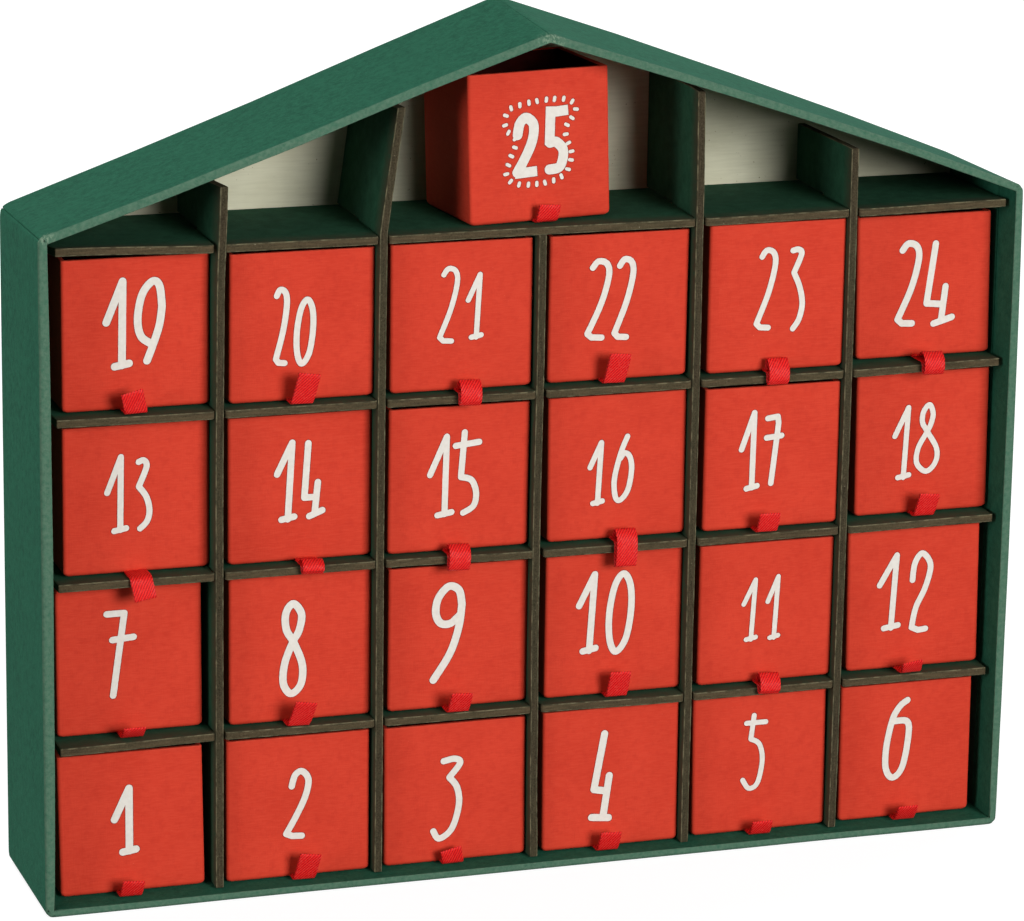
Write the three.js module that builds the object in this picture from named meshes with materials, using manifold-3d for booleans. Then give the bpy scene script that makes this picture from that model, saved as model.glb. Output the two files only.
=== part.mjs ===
// A paper advent calendar in the shape of an open-fronted house.
// Greyboard wrapped in green paper makes the case, crossed boards divide it into bays,
// and each bay holds a small red tray with a doubled ribbon for a pull.
// Millimetres, +Z up, the open front faces -Y, the origin is the middle of the base.
import * as THREE from 'three';
import { mergeVertices } from 'three/addons/utils/BufferGeometryUtils.js';
import Module from 'manifold-3d';

const wasm = await Module();
wasm.setup();

// Bays
const columns = 6;
const rows = 4;
const cellWidth = 49.15; // clear width between two dividers
const cellHeight = 49.3; // clear height between two shelves
const lowestCellLoss = 0.7; // the bays above the bottom board are this much lower than the others
const endCellWidth = 52.7; // mean clear width between a side wall and the nearest divider

// Case
const boardThickness = 2.5; // greyboard with its paper
const backThickness = 2;
const caseDepth = 54.5;
const atticWallHeight = 5.4; // side wall that stands above the attic floor
const loneTrayClearance = 2.2; // from the upper corners of the tray in the attic to the roof, at the front
const ridgeSag = 4; // the ridge's free front end hangs this much lower than its back end
const cornerRadius = 2; // of the wrapped outside corners
const seamGap = 0.3; // between neighbouring boards
const turnInWidth = 13; // green paper folded round the front edges onto the inside
const liningThickness = 0.3;
const liningGap = 0.1;

// Crossed boards of the grid
const gridThickness = 2.6;
const gridRecess = 4.5; // from the case's front to the grid's
const gridBackGap = 0.4; // from the grid to the back panel
const gridShift = 0.4; // the grid stands this much right of the middle
const leftShelfGap = 3.5; // from the shelves' left ends to the wall
const rightShelfGap = 1.5;
const slotChamfer = 0.8; // at the mouths of the shelves' slots
const outerRoofGap = 3.6; // from the two outer dividers' tops to the roof
const innerRoofGap = 0.6; // from the two inner dividers' tops to the roof
const secondDividerLean = 5; // the second divider's top is bent over to the right

// Trays
const traySideGap = 1.4; // mean gap on each side between two dividers
const trayHeadroom = 1.6; // above a tray in the lowest row
const trayBackGap = 0.8; // behind the tray that stands furthest back
const trayWall = 1.6;
const trayFloor = 1.6;
const trayCornerRadius = 1.2; // of the front's two upright corners
const trayInnerRadius = 0.6;

// Ribbon pulls, doubled
const pullWidth = 7;
const pullThickness = 1.2;
const pullRoot = 1; // length inside the tray's front wall
const pullBend = 2.4; // how far out a standing pull bends upward
const pullOverhang = 1.2; // how far a hanging pull reaches below its shelf
const arcSteps = 4;
const roofStations = 16; // straight strips that follow the roof's slight twist

// Where each tray stands in its bay. side runs from 0, against the left board, to 1, against the
// right one. setBack is measured from the grid's front edge to the tray's front. A standing pull
// reaches out by reach and up by rise, and a hanging one bends down over the shelf's edge.
const trays = [
  { side: 0.55, setBack: 4.6, reach: 8, rise: 7 },
  { side: 0.75, setBack: 4.4, reach: 8, rise: 11 },
  { side: 0.85, setBack: 4.0, reach: 4, rise: 4 },
  { side: 1, setBack: 4.4, reach: 6.5, rise: 6.5 },
  { side: 0.9, setBack: 5.4, reach: 6.5, rise: 4.5 },
  { side: 0.15, setBack: 4.3, reach: 7.5, rise: 5 },
  { side: 0.8, setBack: 10.3, reach: 11, rise: 4 },
  { side: 1, setBack: 9.1, reach: 12, rise: 11 },
  { side: 0.95, setBack: 6.6, reach: 9, rise: 8 },
  { side: 1, setBack: 6.6, reach: 7, rise: 8.5 },
  { side: 1, setBack: 5.3, hangs: true },
  { side: 0.5, setBack: 6.8, reach: 10, rise: 4 },
  { side: 1, setBack: 8.5, hangs: true },
  { side: 1, setBack: 7.6, hangs: true },
  { side: 0.65, setBack: 4.2, hangs: true },
  { side: 1, setBack: 5.5, hangs: true },
  { side: 1, setBack: 3.9, reach: 7, rise: 6.5 },
  { side: 0.75, setBack: 8.0, reach: 9.5, rise: 8 },
  { side: 1, setBack: 9.3, reach: 9, rise: 6 },
  { side: 0.95, setBack: 5.7, reach: 9, rise: 11 },
  { side: 0.85, setBack: 5.6, hangs: true },
  { side: 0.85, setBack: 5.2, reach: 8, rise: 10 },
  { side: 1, setBack: 5.4, hangs: true },
  { side: 0.6, setBack: 8.5, hangs: true },
];
// The last tray stands by itself on the attic floor, a little turned
const atticTray = { side: 0.5, setBack: 7.4, reach: 5, rise: 5.5, turn: THREE.MathUtils.degToRad(5.5) };
const minSideGap = 0.4; // what stays free at the board that a tray leans towards

// Worked out from the sizes above
const lowestCellHeight = cellHeight - lowestCellLoss;
const caseWidth = 2 * (boardThickness + endCellWidth) + (columns - 2) * cellWidth + (columns - 1) * gridThickness;
const halfWidth = caseWidth / 2;
const innerHalfWidth = halfWidth - boardThickness;
const frontY = -caseDepth / 2;
const backY = caseDepth / 2;
const gridFrontY = frontY + gridRecess;
const gridBackY = backY - backThickness - liningGap - liningThickness - gridBackGap;
const gridDepth = gridBackY - gridFrontY;
const gridMiddleY = (gridFrontY + gridBackY) / 2;
const pitch = cellWidth + gridThickness;
const shelfLeft = -innerHalfWidth + leftShelfGap;
const shelfRight = innerHalfWidth - rightShelfGap;
const shelfBottom = (level) => boardThickness + lowestCellHeight + (level - 1) * (cellHeight + gridThickness);
const shelfTop = (level) => shelfBottom(level) + gridThickness;
const dividerX = (index) => gridShift + (index - columns / 2) * pitch;
const trayCount = rows * columns;
const narrowestCell = Math.min(cellWidth, endCellWidth - Math.abs(gridShift));
const trayWidth = narrowestCell - 2 * traySideGap;
const trayHeight = lowestCellHeight - seamGap - trayHeadroom;
const deepestSetBack = Math.max(...trays.map((tray) => tray.setBack));
const trayDepth = gridDepth - deepestSetBack - trayBackGap;
const wallHeight = shelfTop(rows) + atticWallHeight;

// The roof rises from the eaves so that its underside just clears the tray in the attic
const eaves = new THREE.Vector2(halfWidth, wallHeight);
const clearPoint = new THREE.Vector2(
  trayWidth / 2 + Math.abs(gridShift),
  shelfTop(rows) + seamGap + trayHeight + loneTrayClearance,
);
const roofAngle =
  Math.atan2(clearPoint.y - eaves.y, eaves.x - clearPoint.x) + Math.asin(boardThickness / clearPoint.distanceTo(eaves));
const ridgeHeight = wallHeight + halfWidth * Math.tan(roofAngle);
const roofUnderside = (x) => ridgeHeight - Math.abs(x) * Math.tan(roofAngle) - boardThickness / Math.cos(roofAngle);

const green = new THREE.MeshStandardMaterial({ color: 0x2d644e, roughness: 0.8, metalness: 0 });
const white = new THREE.MeshStandardMaterial({ color: 0xd8d4c4, roughness: 0.85, metalness: 0 });
const darkGreen = new THREE.MeshStandardMaterial({ color: 0x24523f, roughness: 0.85, metalness: 0 });
const red = new THREE.MeshStandardMaterial({ color: 0xd03e2d, roughness: 0.65, metalness: 0 });

function toSolid(geometry) {
  const bare = geometry.index ? geometry.clone() : mergeVertices(geometry);
  for (const attribute of ['normal', 'uv']) bare.deleteAttribute(attribute);
  const merged = mergeVertices(bare, 1e-4);
  const vertProperties = new Float32Array(merged.attributes.position.array);
  const triVerts = new Uint32Array(merged.index.array);
  return new wasm.Manifold(new wasm.Mesh({ numProp: 3, vertProperties, triVerts }));
}

function toGeometry(solid) {
  const mesh = solid.getMesh();
  const geometry = new THREE.BufferGeometry();
  geometry.setAttribute('position', new THREE.BufferAttribute(new Float32Array(mesh.vertProperties), 3));
  geometry.setIndex(new THREE.BufferAttribute(new Uint32Array(mesh.triVerts), 1));
  geometry.computeVertexNormals();
  return geometry;
}

function box(low, high) {
  const size = new THREE.Vector3().subVectors(high, low);
  const middle = new THREE.Vector3().addVectors(low, high).multiplyScalar(0.5);
  return new THREE.BoxGeometry(size.x, size.y, size.z).translate(middle.x, middle.y, middle.z);
}

function named(name, geometry, material) {
  const mesh = new THREE.Mesh(geometry, material);
  mesh.name = name;
  return mesh;
}

// Case boards

// The house's outline seen from the front, anticlockwise from the bottom left
const houseCorners = [
  new THREE.Vector2(-halfWidth, 0),
  new THREE.Vector2(halfWidth, 0),
  new THREE.Vector2(halfWidth, wallHeight),
  new THREE.Vector2(0, ridgeHeight),
  new THREE.Vector2(-halfWidth, wallHeight),
];

// A corner's inward bisector, and the half angle between it and each of its sides
function cornerShape(index) {
  const count = houseCorners.length;
  const corner = houseCorners[index % count];
  const ahead = houseCorners[(index + 1) % count].clone().sub(corner).normalize();
  const behind = houseCorners[(index + count - 1) % count].clone().sub(corner).normalize();
  const bisector = ahead.clone().add(behind).normalize();
  return { corner, bisector, halfAngle: Math.acos(ahead.dot(bisector)) };
}

// The rail that runs along a side at a distance inside the outline. Its ends lie on the mitres,
// and with a radius they follow half of each rounded corner.
function rail(side, inset, radius, stations) {
  const start = cornerShape(side);
  const end = cornerShape(side + 1);
  const along = end.corner.clone().sub(start.corner).normalize();
  const inward = new THREE.Vector2(-along.y, along.x);
  const points = [];
  const roundEnd = ({ corner, bisector, halfAngle }, sign) => {
    const centre = corner.clone().addScaledVector(bisector, radius / Math.sin(halfAngle));
    return Array.from({ length: arcSteps + 1 }, (_, step) => {
      const angle = (Math.PI / 2 - halfAngle) * (1 - step / arcSteps);
      return centre
        .clone()
        .addScaledVector(inward, -radius * Math.cos(angle))
        .addScaledVector(along, -sign * radius * Math.sin(angle));
    });
  };
  const mitre = ({ corner, bisector, halfAngle }) =>
    corner.clone().addScaledVector(bisector, inset / Math.sin(halfAngle));
  const first = radius ? roundEnd(start, 1) : [mitre(start)];
  const last = radius ? roundEnd(end, -1).reverse() : [mitre(end)];
  points.push(...first);
  for (let step = 1; step < stations; step += 1) {
    points.push(first.at(-1).clone().lerp(last[0], step / stations));
  }
  points.push(...last);
  const trim = (seamGap / 2) / Math.sin(Math.min(start.halfAngle, end.halfAngle));
  const reach = (point) => point.clone().sub(points[0]).dot(along);
  const length = reach(points.at(-1));
  return points.map((point) => {
    const share = reach(point) / length;
    return { point: point.clone().addScaledVector(along, trim * (1 - 2 * share)), share };
  });
}

// How much the roof stands above its front outline at a place further back
function roofLift(x, y) {
  return ridgeSag * ((y - frontY) / caseDepth) * Math.max(0, 1 - Math.abs(x) / halfWidth);
}

// A board between an outer and an inner rail, from one depth to another
function boardBetween(outer, inner, nearY, farY, lifted) {
  const positions = [];
  const place = (point, y) => {
    positions.push(point.x, y, point.y + (lifted ? roofLift(point.x, y) : 0));
  };
  const innerStart = inner[0].point;
  const innerEnd = inner.at(-1).point;
  for (const { point, share } of outer) {
    const inside = innerStart.clone().lerp(innerEnd, share);
    place(point, nearY);
    place(inside, nearY);
    place(inside, farY);
    place(point, farY);
  }
  const ring = 4;
  const indices = [];
  const quad = (a, b, c, d) => indices.push(a, b, c, a, c, d);
  for (let station = 0; station < outer.length - 1; station += 1) {
    for (let edge = 0; edge < ring; edge += 1) {
      const here = station * ring + edge;
      const beside = station * ring + ((edge + 1) % ring);
      quad(here, here + ring, beside + ring, beside);
    }
  }
  const last = (outer.length - 1) * ring;
  quad(0, 1, 2, 3);
  quad(last + 3, last + 2, last + 1, last);
  const geometry = new THREE.BufferGeometry();
  geometry.setAttribute('position', new THREE.Float32BufferAttribute(positions, 3));
  geometry.setIndex(indices);
  geometry.computeVertexNormals();
  return geometry;
}

function caseBoards() {
  const sides = ['bottom_board', 'right_wall', 'right_roof', 'left_roof', 'left_wall'];
  return sides.map((name, side) => {
    const isRoof = name.endsWith('roof');
    const stations = isRoof ? roofStations : 1;
    const outer = rail(side, 0, cornerRadius, stations);
    const inner = rail(side, boardThickness, 0, stations);
    return named(name, boardBetween(outer, inner, frontY, backY, isRoof), green);
  });
}

// White paper on the inside of the walls and the roof, behind the green turn-in
function linings() {
  const sides = [null, 'right_wall_lining', 'right_roof_lining', 'left_roof_lining', 'left_wall_lining'];
  const near = frontY + turnInWidth;
  const far = backY - backThickness - liningGap - liningThickness - liningGap;
  return sides.flatMap((name, side) => {
    if (!name) return [];
    const isRoof = name.includes('roof');
    const stations = isRoof ? roofStations : 1;
    const outer = rail(side, boardThickness + liningGap, 0, stations);
    const inner = rail(side, boardThickness + liningGap + liningThickness, 0, stations);
    return [named(name, boardBetween(outer, inner, near, far, isRoof), white)];
  });
}

// A plate of the house's inner outline, seen from the front
function housePlate(inset, nearY, farY) {
  const outline = houseCorners.map((_, index) => {
    const { corner, bisector, halfAngle } = cornerShape(index);
    return corner.clone().addScaledVector(bisector, inset / Math.sin(halfAngle));
  });
  const plate = new THREE.ExtrudeGeometry(new THREE.Shape(outline), { depth: farY - nearY, bevelEnabled: false });
  plate.rotateX(Math.PI / 2).translate(0, farY, 0);
  const places = plate.attributes.position;
  for (let i = 0; i < places.count; i += 1) {
    const lift = places.getZ(i) > wallHeight ? roofLift(places.getX(i), places.getY(i)) : 0;
    places.setZ(i, places.getZ(i) + lift);
  }
  return toGeometry(toSolid(plate));
}

function backPieces() {
  const panelNear = backY - backThickness;
  const liningFar = panelNear - liningGap;
  return [
    named('back_panel', housePlate(boardThickness + seamGap, panelNear, backY), green),
    named('back_lining', housePlate(boardThickness + seamGap, liningFar - liningThickness, liningFar), white),
  ];
}

// Crossed boards

// A shelf's plan has a slot for each divider, open at the front and half the grid deep
function shelf(level) {
  const isAttic = level === rows;
  const slotHalf = gridThickness / 2 + seamGap;
  const slotEnd = gridMiddleY + seamGap / 2;
  const plan = new THREE.Shape();
  plan.moveTo(shelfLeft, gridFrontY);
  for (let index = 1; index < columns; index += 1) {
    const stopsBelow = index === columns / 2;
    if (isAttic && stopsBelow) continue;
    const x = dividerX(index);
    plan.lineTo(x - slotHalf - slotChamfer, gridFrontY);
    plan.lineTo(x - slotHalf, gridFrontY + slotChamfer);
    plan.lineTo(x - slotHalf, slotEnd);
    plan.lineTo(x + slotHalf, slotEnd);
    plan.lineTo(x + slotHalf, gridFrontY + slotChamfer);
    plan.lineTo(x + slotHalf + slotChamfer, gridFrontY);
  }
  plan.lineTo(shelfRight, gridFrontY);
  plan.lineTo(shelfRight, gridBackY);
  plan.lineTo(shelfLeft, gridBackY);
  plan.closePath();
  const plate = new THREE.ExtrudeGeometry(plan, { depth: gridThickness, bevelEnabled: false });
  plate.translate(0, 0, shelfBottom(level));
  return named(isAttic ? 'attic_floor' : `shelf_${level}`, toGeometry(toSolid(plate)), darkGreen);
}

// A divider is notched from the back for each shelf. The middle one stops under the attic floor.
function divider(index) {
  const x = dividerX(index);
  const isMiddle = index === columns / 2;
  const isOuter = index === 1 || index === columns - 1;
  const lean = index === 2 ? secondDividerLean : 0;
  const halfThickness = gridThickness / 2;
  const bendZ = shelfTop(rows) + seamGap;
  const topZ = isMiddle
    ? shelfBottom(rows) - seamGap
    : roofUnderside(Math.abs(x) + halfThickness) - (isOuter ? outerRoofGap : innerRoofGap);
  const section = new THREE.Shape();
  section.moveTo(x - halfThickness, boardThickness + seamGap);
  section.lineTo(x + halfThickness, boardThickness + seamGap);
  if (lean) section.lineTo(x + halfThickness, bendZ);
  section.lineTo(x + halfThickness + lean, topZ);
  section.lineTo(x - halfThickness + lean, topZ);
  if (lean) section.lineTo(x - halfThickness, bendZ);
  section.closePath();
  const plate = new THREE.ExtrudeGeometry(section, { depth: gridDepth, bevelEnabled: false });
  plate.rotateX(Math.PI / 2).translate(0, gridBackY, 0);
  let solid = toSolid(plate);
  const notchStart = gridMiddleY - seamGap / 2;
  const clear = gridThickness; // how far a cutting block passes the board's faces
  for (let level = 1; level <= rows; level += 1) {
    const low = new THREE.Vector3(x - halfThickness - clear, notchStart, shelfBottom(level) - seamGap);
    const high = new THREE.Vector3(x + halfThickness + clear, gridBackY + clear, shelfTop(level) + seamGap);
    if (high.z < topZ) solid = solid.subtract(toSolid(box(low, high)));
  }
  return named(`divider_${index}`, toGeometry(solid), darkGreen);
}

// Trays

// The middle line of a doubled ribbon, as pairs of distance out of the tray's front and height
// above the tray's foot
function pullLine(tray) {
  const rest = pullThickness / 2;
  if (tray.hangs) {
    const past = tray.setBack + seamGap + pullThickness / 2;
    const lowEnd = -seamGap - gridThickness - pullOverhang;
    return [[-pullRoot, rest], [past - rest, rest], [past, 0], [past, lowEnd]];
  }
  return [[-pullRoot, rest], [pullBend, rest], [tray.reach, tray.rise]];
}

// The ribbon's outline: its middle line moved half a thickness to each side
function pullSolid(tray) {
  const line = pullLine(tray).map(([out, up]) => new THREE.Vector2(out, up));
  const normals = line.slice(1).map((point, i) => {
    const along = point.clone().sub(line[i]).normalize();
    return new THREE.Vector2(-along.y, along.x);
  });
  const offset = (sign) =>
    line.map((point, i) => {
      const before = normals[Math.max(0, i - 1)];
      const after = normals[Math.min(normals.length - 1, i)];
      const mean = before.clone().add(after).normalize();
      return point.clone().addScaledVector(mean, (sign * pullThickness) / 2 / mean.dot(after));
    });
  const outline = new THREE.Shape([...offset(1), ...offset(-1).reverse()]);
  const strip = new THREE.ExtrudeGeometry(outline, { depth: pullWidth, bevelEnabled: false });
  // out becomes -Y, up becomes Z and the width runs along X
  const turned = new THREE.Matrix4().set(0, 0, -1, pullWidth / 2, -1, 0, 0, 0, 0, 1, 0, 0, 0, 0, 0, 1);
  return toSolid(strip.applyMatrix4(turned));
}

// A rectangle with its front corners rounded, seen from above, its front on y = 0
function trayPlan(inset, radius) {
  const half = trayWidth / 2 - inset;
  const near = inset;
  const far = trayDepth - inset;
  const plan = new THREE.Shape();
  plan.moveTo(half, near + radius);
  plan.lineTo(half, far);
  plan.lineTo(-half, far);
  plan.lineTo(-half, near + radius);
  plan.absarc(-half + radius, near + radius, radius, Math.PI, 1.5 * Math.PI, false);
  plan.absarc(half - radius, near + radius, radius, 1.5 * Math.PI, 2 * Math.PI, false);
  return plan;
}

// An open tray with its ribbon, standing on z = 0 with its front on y = 0
function traySolid(tray) {
  const settings = { bevelEnabled: false, curveSegments: arcSteps };
  const outside = new THREE.ExtrudeGeometry(trayPlan(0, trayCornerRadius), { ...settings, depth: trayHeight });
  const hollow = new THREE.ExtrudeGeometry(trayPlan(trayWall, trayInnerRadius), { ...settings, depth: trayHeight });
  hollow.translate(0, 0, trayFloor);
  return toSolid(outside).subtract(toSolid(hollow)).add(pullSolid(tray));
}

function bayTray(tray, index) {
  const row = Math.floor(index / columns);
  const column = index % columns;
  const left = column === 0 ? -innerHalfWidth : dividerX(column) + gridThickness / 2;
  const right = column === columns - 1 ? innerHalfWidth : dividerX(column + 1) - gridThickness / 2;
  const free = right - left - trayWidth - 2 * minSideGap;
  const mesh = named(`tray_${String(index + 1).padStart(2, '0')}`, toGeometry(traySolid(tray)), red);
  const foot = row === 0 ? boardThickness : shelfTop(row);
  mesh.position.set(
    left + minSideGap + free * tray.side + trayWidth / 2,
    gridFrontY + tray.setBack,
    foot + seamGap,
  );
  return mesh;
}

function loneTray(tray) {
  const left = dividerX(columns / 2 - 1);
  const right = dividerX(columns / 2 + 1);
  const mesh = named(`tray_${trayCount + 1}`, toGeometry(traySolid(tray)), red);
  mesh.rotation.z = tray.turn;
  mesh.position.set(left + (right - left) * tray.side, gridFrontY + tray.setBack, shelfTop(rows) + seamGap);
  return mesh;
}

const calendar = new THREE.Group();
calendar.add(...caseBoards(), ...linings(), ...backPieces());
for (let level = 1; level <= rows; level += 1) calendar.add(shelf(level));
for (let index = 1; index < columns; index += 1) calendar.add(divider(index));
for (let index = 0; index < trayCount; index += 1) calendar.add(bayTray(trays[index % trays.length], index));
calendar.add(loneTray(atticTray));

export default calendar;
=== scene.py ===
"""Looks of a paper advent calendar house: wrapped boards, red numbered trays and ribbon pulls.

Metres, +Z up, the open front faces -Y. Sizes are written in millimetres and multiplied by MM.
"""
import math
import random
from collections import namedtuple

import bmesh
import bpy
from mathutils import Matrix, Vector, noise
from mathutils.geometry import delaunay_2d_cdt


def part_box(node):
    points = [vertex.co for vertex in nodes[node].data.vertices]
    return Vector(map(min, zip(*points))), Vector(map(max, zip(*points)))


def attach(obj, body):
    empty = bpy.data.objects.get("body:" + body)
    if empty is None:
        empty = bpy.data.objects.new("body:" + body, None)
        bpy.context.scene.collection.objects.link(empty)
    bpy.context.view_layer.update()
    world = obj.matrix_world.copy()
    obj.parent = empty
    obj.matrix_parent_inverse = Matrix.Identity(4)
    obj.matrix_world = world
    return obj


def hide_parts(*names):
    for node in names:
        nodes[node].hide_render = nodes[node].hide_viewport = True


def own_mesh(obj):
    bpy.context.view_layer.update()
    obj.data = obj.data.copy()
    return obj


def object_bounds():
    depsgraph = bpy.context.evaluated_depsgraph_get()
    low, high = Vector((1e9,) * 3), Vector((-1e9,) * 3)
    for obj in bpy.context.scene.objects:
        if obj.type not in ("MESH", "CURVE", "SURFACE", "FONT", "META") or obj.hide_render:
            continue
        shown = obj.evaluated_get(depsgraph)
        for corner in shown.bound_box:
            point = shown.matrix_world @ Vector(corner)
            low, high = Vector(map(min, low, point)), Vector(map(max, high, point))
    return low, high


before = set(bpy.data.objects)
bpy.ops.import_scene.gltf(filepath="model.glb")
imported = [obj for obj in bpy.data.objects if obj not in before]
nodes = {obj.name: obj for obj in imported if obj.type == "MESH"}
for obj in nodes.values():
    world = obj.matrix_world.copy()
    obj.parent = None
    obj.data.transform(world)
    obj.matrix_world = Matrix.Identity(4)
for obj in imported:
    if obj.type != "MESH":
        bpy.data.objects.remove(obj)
cad_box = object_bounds()

MM = 0.001
FRONT = cad_box[0].y
BACK = cad_box[1].y
random.seed(25)
noise.seed_set(25)  # without it, Blender's noise is different in each run

# Camera: a long lens, left of the house and a little above it
CAMERA_PLACE = Vector((-452.1, -1344.4, 509.0)) * MM
CAMERA_AIM = Vector((-1.4, 0, 128.6)) * MM
CAMERA_ROLL = math.radians(0.887)
CAMERA_LENS = 162.42
SENSOR_WIDTH = 36

# Light: a large softbox in front and to the right, a weaker one at the left side that reaches only the
# fronts of the bays, and three behind the open front for the outside. Each has a place, size and power.
LAMPS = {
    "front_softbox": ((0.76, -2.46, 0.8), 1.2, 69),
    "left_side_softbox": ((-1.8, -0.72, 0.45), 0.75, 12.5),
    "left_rear_softbox": ((-1.7, 0.75, 0.7), 0.8, 4.5),
    "high_rear_softbox": ((-0.5, 0.7, 1.9), 0.9, 20),
    "right_rear_softbox": ((1.6, 0.9, 0.8), 0.8, 10),
}
LAMP_AIM = Vector((0, 0, 0.14))
WORLD_STRENGTH = 0.03
FLOOR_REACH = 6
FLOOR_GLOW = 0.88  # beneath the object, rising to 1 at the distance of FLOOR_FADE
FLOOR_FADE = 1.4

# Colours, as 0 to 255 screen values
GREEN = (40, 99, 76)
GREEN_DEEP = (27, 77, 59)
GREEN_PALE = (58, 116, 92)
# paler green for small flecks, and for the front rims, where it is partly rubbed wear and partly painted
# light
GREEN_RUBBED_AND_PAINTED_LIGHT = (90, 119, 99)
GREEN_FIBRE = (138, 160, 136)
GRID_GREEN = (42, 84, 62)
GRID_GREEN_DARK = (30, 66, 48)
GRID_WORN = (66, 64, 48)
SHELF_CORE = (88, 74, 54)
SHELF_CORE_DARK = (60, 51, 37)
DIVIDER_CORE = (64, 55, 41)
DIVIDER_CORE_DARK = (38, 33, 24)
CORE_MOSS = (62, 64, 44)
CORE_GRIT = (108, 98, 76)
CORE_SPECK = (170, 162, 138)
PAPER_EDGE = (112, 106, 82)
PAPER_EDGE_DARK = (66, 62, 46)
WHITE = (204, 202, 178)
WHITE_CLOUD = (190, 187, 162)
WHITE_LAID = (166, 162, 138)
WHITE_SPECK = (136, 130, 106)
RED = (209, 63, 43)
RED_DEEP = (200, 57, 38)
RED_WEFT = (218, 77, 55)
RED_BLOT = (190, 50, 35)
RED_FLECK = (230, 124, 98)
# paler red on the trays' top rims: rubbed wear together with a painted highlight
RED_RUBBED_AND_PAINTED_HIGHLIGHT = (220, 86, 63)
# the trays' inside: red paper painted far darker than the outside, as painted shade
RED_INSIDE_PAINTED_SHADE = (60, 13, 9)
RED_INSIDE_PAINTED_SHADE_DARK = (46, 10, 7)
RIBBON = (243, 36, 34)
RIBBON_DEEP = (190, 8, 13)
RIBBON_THREAD = (250, 104, 92)
PRINT = (231, 226, 217)
PRINT_CLOUD = (221, 215, 205)
# the dark ring round the print: painted shadow
PRINT_PAINTED_SHADOW = (124, 40, 32)
FLOOR_SEEN = (140, 140, 140)
FLOOR_BOUNCE = (96, 96, 96)

# Boards
SHARP = math.radians(30)  # edges that turn more than this are rounded
BOARD_EDGE_RADIUS = 1.15 * MM  # outer front edges, where the paper turns over the board
INNER_EDGE_SHARE = 0.3  # what the inner front edges have of that radius
BACK_EDGE_SHARE = 0.3
MITRE_WIDTHS = (1.6 * MM, 4.2 * MM)  # a mitre's width is between these
SEAM_CLOSING = 0.17 * MM  # brings the boards' mitres together
SEAM_GROOVE = 0.13 * MM  # what of that is left out along the outside, behind the front
SEAM_FRONT = 3 * MM  # where the groove begins
SEAM_FADE = 0.7  # the share of it that is lost toward the back
CREASE_REACH = 3.6 * MM  # the outside turns round over this much of a board's end
CREASE_CUTS = (0.4, 0.7, 1)  # as shares of that reach
CREASE_DEPTH = 0.7 * MM  # how much further the corner of the outside is rounded off at the back
CREASE_DEPTH_FRONT = 0.15 * MM
GRID_EDGE_RADIUS = 0.38 * MM
GRID_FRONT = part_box("shelf_1")[0].y
GRID_WORN_DEPTH = 7 * MM
CUT_SPACING = 9 * MM
CUT_CLEARANCE = 1.2 * MM  # no cut is nearer than this to a corner
RIM_WAVE = 0.14 * MM  # how far the front rims stray from straight
RIM_WAVE_LENGTH = 34 * MM
RIM_WAVE_DEPTH = 9 * MM  # the waves fade out this far behind the rim

# How far each board's front is bent, in mm, at even steps from its left or lower end to its other end
BENDS = {
    "attic_floor": (1.3, -0.3, -0.5, -0.3, -0.5, -0.1, 0.6),
    "shelf_3": (0.1, -0.3, -0.3, -0.6, -0.6, -0.7, 0.2),
    "shelf_2": (0.2, 0.2, 0.1, -0.6, -0.8, -0.5, -0.1),
    "shelf_1": (-0.5, 0.2, 0.1, 0, -0.6, -0.4, -0.3),
    "divider_1": (-0.3, -0.3, -0.3, -0.2, -0.1, 0.3, 1.5),
    "divider_2": (-0.3, -0.3, -0.3, -0.4, -0.3, -0.1, 0.3),
    "divider_3": (0, -0.5, -0.9, -0.9, -0.7, -0.5, -0.4),
    "divider_4": (-0.3, -0.3, -0.3, -0.3, -0.3, -0.4, -0.9),
    "divider_5": (-0.6, -0.5, -0.3, -0.2, -0.2, -0.3, -0.4),
}
BEND_DEPTH = 14 * MM  # the bends fade out this far behind the front

# How far the roofs have risen, in mm, at even steps from the left eave to the right one
FRONT_RISE = (0, -0.6, -0.4, 0.7, 0.7, 1.5, 1.7, 1.5, 0)
BACK_RISE = (-0.9, -1.3, -1.2, -0.4, 0, 1.0, 1.1, 0.7, -0.5)
RISE_END = 0.999875  # points at the right eave take the rise from this share of the way
RISE_FOOT = 150 * MM  # the case rises from here up
RISE_HEIGHT = 60 * MM
DIVIDER_RISE_FOOT = 212 * MM
DIVIDER_RISE_HEIGHT = 10 * MM

# How much thicker the walls' rims look than the walls are
RIM_SWELLING = {"left_wall": 1.0 * MM, "right_wall": 0.7 * MM}
RIM_SWELLING_DEPTH = 11 * MM

# Trays
TRAY_WALL = 1.6 * MM
TRAY_FLOOR = 1.6 * MM
TRAY_CORNER = 1.2 * MM  # radius of the upright corners
TRAY_FOOT_RADIUS = 1.7 * MM
TRAY_TAPER = 0.03  # the share by which a tray in a bay is narrower at its back
TRAY_RIM_RADIUS = 0.35 * MM
TRAY_INNER_RADIUS = 0.5 * MM
TRAY_BULGE = 0.35 * MM  # the most that a front swells or sinks
ARC_STEPS = 5
SIDE_STEPS = 8
ATTIC_TRAY = 25  # the one that stands by itself, turned, wider and tilted
ATTIC_TURN = math.radians(5.5)
ATTIC_TRAY_WIDER = 1.024
ATTIC_TRAY_TILT = 0.011

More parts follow.
